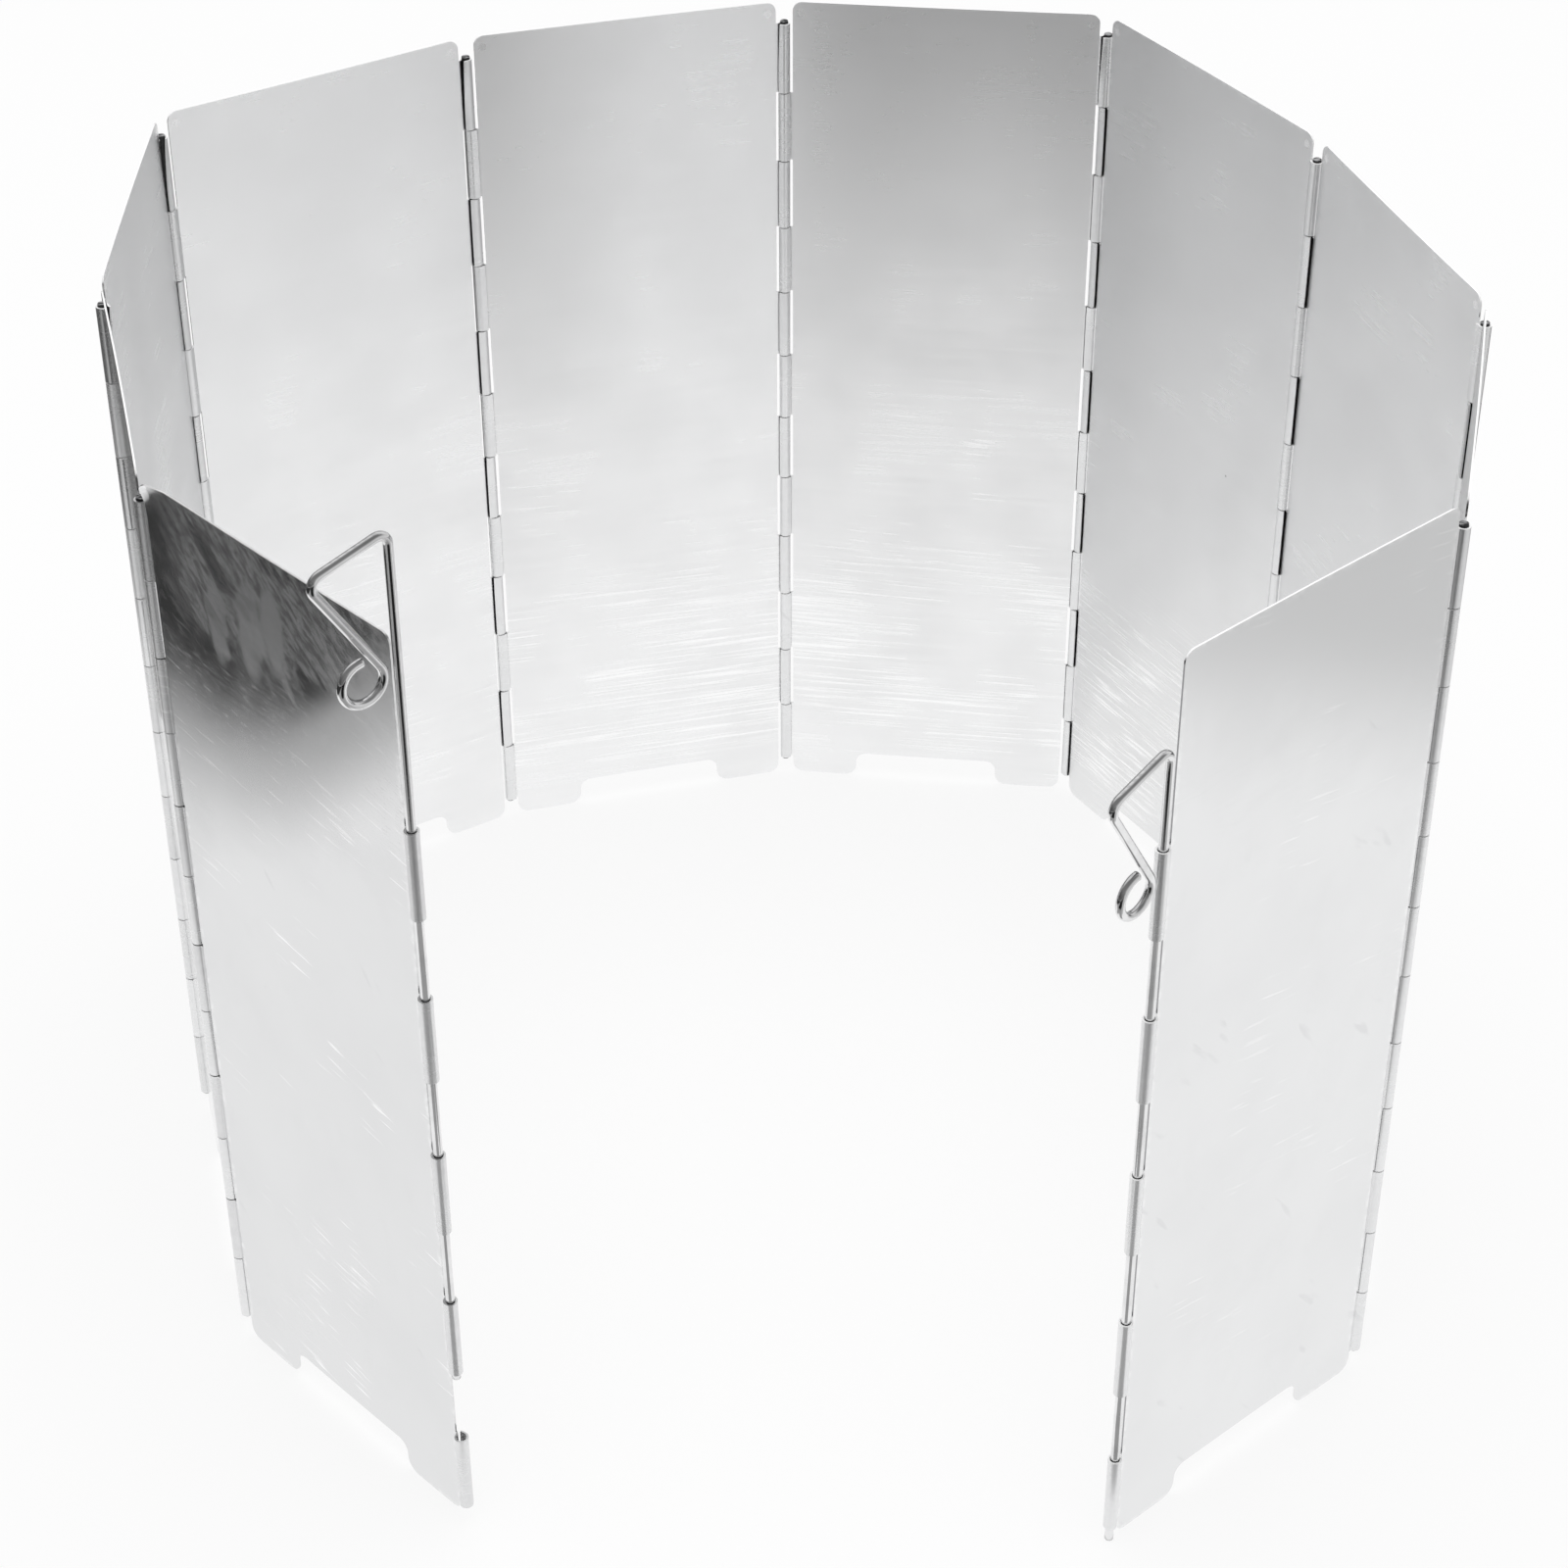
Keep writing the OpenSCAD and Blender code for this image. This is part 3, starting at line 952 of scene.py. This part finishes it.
FLECK_RISE = (HEIGHT * 0.72, HEIGHT * 0.95)
FEW_FLECKS = 0.15
BAND_AT = (LEFT + 7.5, HEIGHT - 25.0)
BAND_SIZE = (2.6, 42.0)
BAND_SOFT = 0.4
BAND_STEP = (0.5, 0.68)
BAND_SHARE = 0.35


def corner_dents(tree, x, z):
    """Small round dents near the top corners, shown by bump and a painted highlight in the colour."""
    spots = [(across, HEIGHT - DENT_DOWN) for across in (LEFT + DENT_IN, RIGHT - DENT_IN)]
    return largest(tree, *[spot_mask(tree, x, z, spot, DENT_SIZE, DENT_SOFT) for spot in spots])


def rub_streaks(tree, n, moved, x, z):
    """Polished lines along the panel, slightly fanned: many low down, and a few clusters higher up."""
    fan = product(tree, calc(tree, "SUBTRACT", x, MIDDLE), z, STREAK_FAN)
    along = calc(tree, "ADD", x, PANEL_SHIFT * n)
    tilted = node(tree, "CombineXYZ", [("X", along), ("Z", calc(tree, "ADD", z, fan))]).outputs[0]
    scale = (STREAK_PITCH.get(n, STREAK_ALONG), 0.0, STREAK_UP)
    long_lines = ramp(tree, pattern(tree, tilted, scale, *STREAK_NOISE), *STREAK_STEP)
    short_lines = ramp(tree, pattern(tree, tilted, *SHORT_STREAKS), *SHORT_STEP)
    patches = pattern(tree, moved, *STREAK_PATCHES)
    low = product(tree, ramp(tree, z, *STREAK_FADE), ramp(tree, z, *STREAK_FOOT))
    low_lines = product(tree, long_lines, ramp(tree, patches, *LOW_PATCH_STEP), low)
    low_lines = product(tree, low_lines, STREAKED.get(n, 1.0))
    share = SHORT_SHARE * FLECKED.get(n, FEW_STREAKS)
    middle = product(tree, ramp(tree, z, *SHORT_FADE), ramp(tree, patches, *HIGH_PATCH_STEP), share)
    return largest(tree, low_lines, product(tree, short_lines, middle))


def top_flecks(tree, n, moved, x, z):
    """Short bright marks near the top, and on one panel a rubbed band beside its left edge."""
    specks = pattern(tree, moved, *FLECKS)
    where = ramp(tree, pattern(tree, moved, *FLECK_PATCHES), *FLECK_PATCH_STEP)
    high = product(tree, ramp(tree, z, *FLECK_RISE), where)
    marks = product(tree, ramp(tree, specks, *FLECK_STEP), high, FLECKED.get(n, FEW_FLECKS))
    if n != RUBBED_PANEL:
        return marks
    band = spot_mask(tree, x, z, BAND_AT, BAND_SIZE, BAND_SOFT)
    return largest(tree, marks, product(tree, ramp(tree, specks, *BAND_STEP), band, BAND_SHARE))


# How the inner marks act on polish, roughness, metal and relief
FLECK_POLISH = 0.8
# Dents also lighten the colour: a painted highlight
DENT_POLISH_AND_HIGHLIGHT = 0.6
POLISH = 0.13
INNER_HAZE_ROUGH = (0.3, 0.7, -0.025, 0.025)
INNER_LINE_ROUGH = (0.3, 0.7, -0.015, 0.015)
INNER_DULL = 0.25
DENT_DULL = 0.8
WEAR_DULL = 0.15
STREAK_RELIEF = 0.4
INNER_LINE_RELIEF = 0.6


def inner_finish(n):
    """Satin inner face: rolling lines along the panel, polished streaks, flecks, dents, pits and wear."""
    material, tree, shader = new_material(f"aluminium_inner_{n}")
    moved, x, z = panel_coordinates(tree, n, 0)
    haze = pattern(tree, moved, *HAZE)
    lines = pattern(tree, moved, *INNER_LINES)
    streaks = rub_streaks(tree, n, moved, x, z)
    flecks = top_flecks(tree, n, moved, x, z)
    pits = pit_mask(tree, moved)
    dents = corner_dents(tree, x, z)
    wear = edge_wear(tree, moved, x, z)
    polish_and_dent_highlight = largest(tree, streaks, product(tree, flecks, FLECK_POLISH))
    polish_and_dent_highlight = largest(tree, polish_and_dent_highlight, product(tree, dents, DENT_POLISH_AND_HIGHLIGHT))
    # The darker colour of panels 7 and 8 is painted shade
    plain = shaded(INNER_COLOUR, INNER_PAINTED_SHADE.get(n, 1.0))
    colour = blend(tree, largest(tree, polish_and_dent_highlight, product(tree, wear, WEAR_BRIGHT)), plain, SCUFF_AND_HIGHLIGHT_COLOUR)
    colour = blend(tree, pits, colour, PIT_AND_RIM_SHADE_COLOUR)
    rough = calc(tree, "ADD", ramp(tree, haze, *INNER_HAZE_ROUGH), ramp(tree, lines, *INNER_LINE_ROUGH))
    rough = calc(tree, "ADD", calc(tree, "MULTIPLY_ADD", polish_and_dent_highlight, -POLISH, rough), INNER_ROUGHNESS)
    dull = largest(tree, flecks, product(tree, dents, DENT_DULL), product(tree, wear, WEAR_DULL))
    metallic = calc(tree, "SUBTRACT", 1.0, product(tree, dull, INNER_DULL))
    raised = product(tree, lines, INNER_LINE_RELIEF)
    relief = calc(tree, "MULTIPLY_ADD", largest(tree, streaks, flecks), STREAK_RELIEF, raised)
    relief = calc(tree, "SUBTRACT", relief, largest(tree, pits, dents))
    set_finish(tree, shader, colour, metallic, rough, relief, INNER_BUMP)
    brush(tree, shader, INNER_ANISOTROPY)
    return material


# Marks on the outer faces; angles are in radians, from the panel's length
OUTER_LINES = ((0.03, 0.0, 0.8), 3.0, 0.6)
SLANT_NOISE = (2.0, 0.5)
SCRATCH_ANGLE = 0.17
SCRATCH_SCALE = (0.07, 0.0, 0.85)
SCRATCH_STEP = (0.6, 0.7)
SCRATCH_PATCHES = ((0.035, 0.0, 0.03), 1.0, 0.5)
SCRATCH_PATCH_STEP = (0.5, 0.64)
FEW_SCRATCHES = 0.35
SCUFF_ANGLE = 0.9
SCUFF_SCALE = (0.05, 0.0, 0.22)
SCUFF_STEP = (0.62, 0.72)
SCUFF_PATCH_STEP = (0.52, 0.4)
SPECK_SCALE = (0.32, 0.0, 1.9)
SPECK_STEP = (0.58, 0.66)
SPECK_PATCH_STEP = (0.35, 0.5)
SPECK_RISE = (182.0, 192.0)
SPECK_FADE = (216.0, 204.0, 0.3, 1.0)
FEW_SPECKS = 0.1
ROLL_BORDER = 0.3
RUBBED = ((1.4, 1.4, 0.1), 3.0, 0.6)
RUBBED_STEP = (0.45, 0.75)
# Painted highlight on faces turned up, by the height of their normal
TOP_HIGHLIGHT_STEP = (0.2, 0.6)
UPRIGHT_STEP = (0.6, 0.2)
RIM_SHADE_WIDTH = 0.03

# Grease: a faint cloud, and a hand's marks near the top of the left end panel
GREASE = ((0.045, 0.0, 0.03), 4.0, 0.6)
GREASE_STEP = (0.5, 0.68)
GREASE_SHARE = 0.2
WIPE_ANGLE = 0.75
WIPES = ((0.035, 0.0, 0.11), 5.0, 0.62)
WIPE_MIDDLE = 0.5
MOTTLE = ((0.2, 0.0, 0.55), 6.0, 0.75)
PALM_STEP = (0.41, 0.48, 0.4, 1.0)
PALM_WAVE = 40.0
PALM_RISE = (211.0, 217.0)
PALM_SIDE = (77.0, 64.0, 0.3, 1.0)
PALM_MOTTLE = (0.42, 0.58, 0.45, 1.15)
PALM_SHARE = 0.85
GRAIN_STEP = (0.5, 0.66)
GRAIN_RISE = (192.0, 202.0)
GRAIN_SHARE = 0.4
FINGER_WAVE = 9.0
FINGER_SOFT = 0.25
FINGER_PATCHES = (0.35, 0.6, 0.6, 1.0)

# Finger marks, as place along and up, and half width and half length
FINGERS = (
    ((58.0, 217.0), (3.6, 11.0)),
    ((47.0, 219.0), (4.2, 12.0)),
    ((40.0, 223.0), (3.6, 11.0)),
)


def slanted(tree, moved, angle):
    """Place on the panel, turned about the upright to the sheet."""
    turned = [("Vector", moved), ("Angle", angle)]
    return node(tree, "VectorRotate", turned, rotation_type="Y_AXIS").outputs[0]


def slanting_lines(tree, moved, angle, scale):
    """Noise drawn out into lines at an angle to the panel."""
    return pattern(tree, slanted(tree, moved, angle), scale, *SLANT_NOISE)


def hand_marks(tree, moved, x, z):
    """A palm's wipe along the top, its grain lower down, and three finger marks."""
    slant = slanted(tree, moved, WIPE_ANGLE)
    wipes = pattern(tree, slant, *WIPES)
    mottle = pattern(tree, slant, *MOTTLE)
    wave = calc(tree, "SUBTRACT", wipes, WIPE_MIDDLE)
    low = calc(tree, "MULTIPLY_ADD", wave, PALM_WAVE, z)
    palm = product(tree, ramp(tree, wipes, *PALM_STEP), ramp(tree, low, *PALM_RISE))
    palm = product(tree, palm, ramp(tree, x, *PALM_SIDE), ramp(tree, mottle, *PALM_MOTTLE), PALM_SHARE)
    grain = product(tree, ramp(tree, mottle, *GRAIN_STEP), ramp(tree, z, *GRAIN_RISE), GRAIN_SHARE)
    bent = calc(tree, "MULTIPLY_ADD", wave, FINGER_WAVE, x)
    tips = largest(tree, *[spot_mask(tree, bent, z, at, size, FINGER_SOFT) for at, size in FINGERS])
    return largest(tree, palm, product(tree, tips, ramp(tree, wipes, *FINGER_PATCHES)), grain)


def smudge_mask(tree, n, moved, x, z):
    """Greasy marks: faint ones on every panel, and a hand's on one."""
    marks = product(tree, ramp(tree, pattern(tree, moved, *GREASE), *GREASE_STEP), GREASE_SHARE)
    if n != HANDLED_PANEL:
        return marks
    return largest(tree, marks, hand_marks(tree, moved, x, z))


def knuckle_mask(tree, x):
    """1 on the rolled edges."""
    edge = MIDDLE - EDGE_SETBACK
    return ramp(tree, off_middle(tree, x), edge - ROLL_BORDER, edge + ROLL_BORDER)


def speck_mask(tree, n, moved, z, haze):
    """Fine short marks in a band below the top."""
    specks = slanting_lines(tree, moved, SCRATCH_ANGLE, SPECK_SCALE)
    share = SCRATCHED.get(n, FEW_SPECKS)
    band = product(tree, ramp(tree, z, *SPECK_RISE), ramp(tree, z, *SPECK_FADE), share)
    return product(tree, ramp(tree, specks, *SPECK_STEP), ramp(tree, haze, *SPECK_PATCH_STEP), band)


# How the outer marks act on colour, roughness, metal and relief
HAZE_GRIME = (0.35, 0.7, 0.0, 0.1)
SCUFF_GRIME = 0.35
RUBBED_GRIME = 0.12
KNUCKLE_WEAR = 0.75
OUTER_HAZE_ROUGH = (0.3, 0.7, -0.03, 0.04)
OUTER_LINE_ROUGH = (0.3, 0.7, -0.01, 0.01)
MARK_ROUGH = 0.1
SMUDGE_ROUGH = 0.4
KNUCKLE_ROUGHNESS = 0.16
SMUDGE_DULL = 0.21
SPECK_DULL = 0.27
OUTER_WEAR_DULL = 0.05
PLAIN_KNUCKLE_DULL = 0.1
TOP_HIGHLIGHT_DULL = 0.85
SCRATCH_RELIEF = 0.4
OUTER_LINE_RELIEF = 0.3


def outer_colour(tree, n, marks):
    """Colour under grease, scuffs and panel 1's film of painted shade, brighter where rubbed and where
    up-facing edges get a painted highlight, dark in pits and where a side rim gets painted shade.
    """
    haze_grime_and_painted_shade = calc(tree, "ADD", ramp(tree, marks["haze"], *HAZE_GRIME), PAINTED_SHADE_FILM.get(n, 0.0))
    rubbed = product(tree, marks["rolled"], ramp(tree, marks["rubbed"], *RUBBED_STEP), RUBBED_GRIME)
    grime_and_painted_shade = largest(tree, haze_grime_and_painted_shade, product(tree, marks["scuffs"], SCUFF_GRIME), rubbed)
    # The darker outer colour of panels 1 and 10 is painted shade
    colour = blend(tree, grime_and_painted_shade, shaded(OUTER_COLOUR, OUTER_PAINTED_SHADE.get(n, 1.0)), GRIME_AND_SHADE_COLOUR)
    worn = product(tree, marks["wear"], WEAR_BRIGHT)
    bright = largest(tree, marks["scratches"], marks["cut_texture_and_top_highlight"], worn)
    colour = blend(tree, bright, colour, SCUFF_AND_HIGHLIGHT_COLOUR)
    return blend(tree, largest(tree, marks["pits"], marks["painted_rim_shade"]), colour, PIT_AND_RIM_SHADE_COLOUR)


def outer_roughness(tree, marks):
    """Roughness from haze, rolling lines, scratches and smudges, and more on the knuckles."""
    haze = ramp(tree, marks["haze"], *OUTER_HAZE_ROUGH)
    rough = calc(tree, "ADD", haze, ramp(tree, marks["lines"], *OUTER_LINE_ROUGH))
    rubbed = largest(tree, marks["scratches"], product(tree, marks["smudges"], SMUDGE_ROUGH))
    rough = calc(tree, "MULTIPLY_ADD", rubbed, MARK_ROUGH, rough)
    rough = calc(tree, "MULTIPLY_ADD", marks["rolled"], KNUCKLE_ROUGHNESS, rough)
    return calc(tree, "ADD", rough, OUTER_ROUGHNESS)


def outer_metallic(tree, n, marks):
    """Less of a mirror where smudged, specked, worn or rolled, and on faces turned up as part of their
    painted highlight.
    """
    shares = (
        ("smudges", SMUDGE_DULL),
        ("specks", SPECK_DULL),
        ("wear", OUTER_WEAR_DULL),
        ("rolled", KNUCKLE_DULL.get(n, PLAIN_KNUCKLE_DULL)),
        ("cut_texture_and_top_highlight", TOP_HIGHLIGHT_DULL),
    )
    dull = largest(tree, *[product(tree, marks[name], share) for name, share in shares])
    return calc(tree, "SUBTRACT", 1.0, dull)


def outer_marks(tree, n):
    """Every mark of panel n's outer face, by name."""
    moved, x, z = panel_coordinates(tree, n, 1)
    haze = pattern(tree, moved, *HAZE)
    where = pattern(tree, moved, *SCRATCH_PATCHES)
    scored = ramp(tree, slanting_lines(tree, moved, SCRATCH_ANGLE, SCRATCH_SCALE), *SCRATCH_STEP)
    scuffed = ramp(tree, slanting_lines(tree, moved, SCUFF_ANGLE, SCUFF_SCALE), *SCUFF_STEP)
    rolled = knuckle_mask(tree, x)
    flat = calc(tree, "MULTIPLY_ADD", rolled, -KNUCKLE_WEAR, 1.0)
    up = surface_normal(tree)["Z"]
    # Upright side rim faces, for painted shade
    side = calc(tree, "COMPARE", off_middle(tree, x), MIDDLE - LEFT, RIM_SHADE_WIDTH)
    scratched = SCRATCHED.get(n, FEW_SCRATCHES)
    return {
        "haze": haze,
        "lines": pattern(tree, moved, *OUTER_LINES),
        "scratches": product(tree, scored, ramp(tree, where, *SCRATCH_PATCH_STEP), scratched),
        "scuffs": product(tree, scuffed, ramp(tree, where, *SCUFF_PATCH_STEP)),
        "smudges": smudge_mask(tree, n, moved, x, z),
        "specks": speck_mask(tree, n, moved, z, haze),
        "rolled": rolled,
        "rubbed": pattern(tree, moved, *RUBBED),
        "pits": pit_mask(tree, moved),
        "wear": product(tree, edge_wear(tree, moved, x, z), flat),
        # Faces turned up: painted highlight
        "cut_texture_and_top_highlight": ramp(tree, up, *TOP_HIGHLIGHT_STEP, 0.0, TOP_EDGE_HIGHLIGHT.get(n, 1.0)),
        "painted_rim_shade": product(tree, side, ramp(tree, up, *UPRIGHT_STEP), SIDE_RIM_SHADE.get(n, 0.0)),
    }


def outer_finish(n):
    """Bright outer face, with grease, slanting scratches, flecks, pits and rubbed edges and knuckles."""
    material, tree, shader = new_material(f"aluminium_outer_{n}")
    marks = outer_marks(tree, n)
    raised = product(tree, marks["lines"], OUTER_LINE_RELIEF)
    relief = calc(tree, "MULTIPLY_ADD", marks["scratches"], -SCRATCH_RELIEF, raised)
    relief = calc(tree, "SUBTRACT", relief, marks["pits"])
    colour, rough = outer_colour(tree, n, marks), outer_roughness(tree, marks)
    set_finish(tree, shader, colour, outer_metallic(tree, n, marks), rough, relief, OUTER_BUMP)
    brush(tree, shader, OUTER_ANISOTROPY)
    return material


# Wire: bright stakes, and pins painted near black as the shade in the knuckles' slits
STAKE_COLOUR = (0.82, 0.82, 0.825, 1)
STAKE_ROUGHNESS = 0.1
PIN_PAINTED_SHADE_COLOUR = (0.05, 0.05, 0.052, 1)
PIN_ROUGHNESS = 0.45
CUT_COLOUR = (0.6, 0.6, 0.61, 1)
WIRE_BUMP = 0.2
DRAWN = ((4.0, 4.0, 0.1), 2.0, 0.5)
DRAWN_RELIEF = 0.3
NICKS = ((0.7, 0.7, 2.0), 1.0, 0.5)
NICK_STEP = (0.7, 0.76)
NICK_ROUGH = 0.2
PATCH_NOISE = (0.12, 3.0, 0.6)
PATCH_STEP = (0.35, 0.75)
PATCH_SHARE = 0.6
PATCH_SHADE = 0.75
PATCH_ROUGH = 0.06
CUT = ((0.6, 1.7, 0.0), 1.0, 0.5)
CUT_STEP = (0.42, 0.58)
CUT_FACING = (0.9, 0.98)


def wire_material(name, colour, rough):
    """Drawn steel wire, with fine lines along it, a few dull patches, nicks, and cut ends."""
    material, tree, shader = new_material(name)
    spot = stretch(tree, node(tree, "TexCoord").outputs["Object"], PER_MM)
    dull = noise(tree, spot, *PATCH_NOISE)
    nicks = ramp(tree, pattern(tree, spot, *NICKS), *NICK_STEP)
    worn = ramp(tree, dull, *PATCH_STEP, 0.0, PATCH_SHARE)
    finish = blend(tree, worn, colour, shaded(colour[:3], PATCH_SHADE))
    cut_texture_and_top_highlight = ramp(tree, pattern(tree, spot, *CUT), *CUT_STEP)
    cut = product(tree, ramp(tree, surface_normal(tree)["Z"], *CUT_FACING), cut_texture_and_top_highlight)
    finish = blend(tree, cut, finish, CUT_COLOUR)
    matt = ramp(tree, dull, *PATCH_STEP, rough, rough + PATCH_ROUGH)
    matt = calc(tree, "MULTIPLY_ADD", nicks, NICK_ROUGH, matt)
    drawn = product(tree, pattern(tree, spot, *DRAWN), DRAWN_RELIEF)
    set_finish(tree, shader, finish, 1.0, matt, calc(tree, "SUBTRACT", drawn, nicks), WIRE_BUMP)
    return material


def finish_pins():
    """The hinge pins keep their solids, with their cut ends rounded."""
    # Near-black pins are painted shade for the dark slits and bores they sit in
    material = wire_material("pin_wire", PIN_PAINTED_SHADE_COLOUR, PIN_ROUGHNESS)
    for i in range(1, PANELS):
        pin = frame["nodes"][f"hinge_pin_{i}"]
        if not pin.material_slots:
            pin.data.materials.append(material)
        pin.material_slots[0].material = material
        round_edges(pin, "ends", CUT_ROUND)


place_camera()
bpy.context.scene.view_settings.view_transform = "Standard"
light_the_world()
lay_floor()
lay_flags()
hang_softbox()
for number in range(1, PANELS + 1):
    make_panel(number)
make_stake("left", AXES[0])
make_stake("right", AXES[PANELS])
finish_pins()
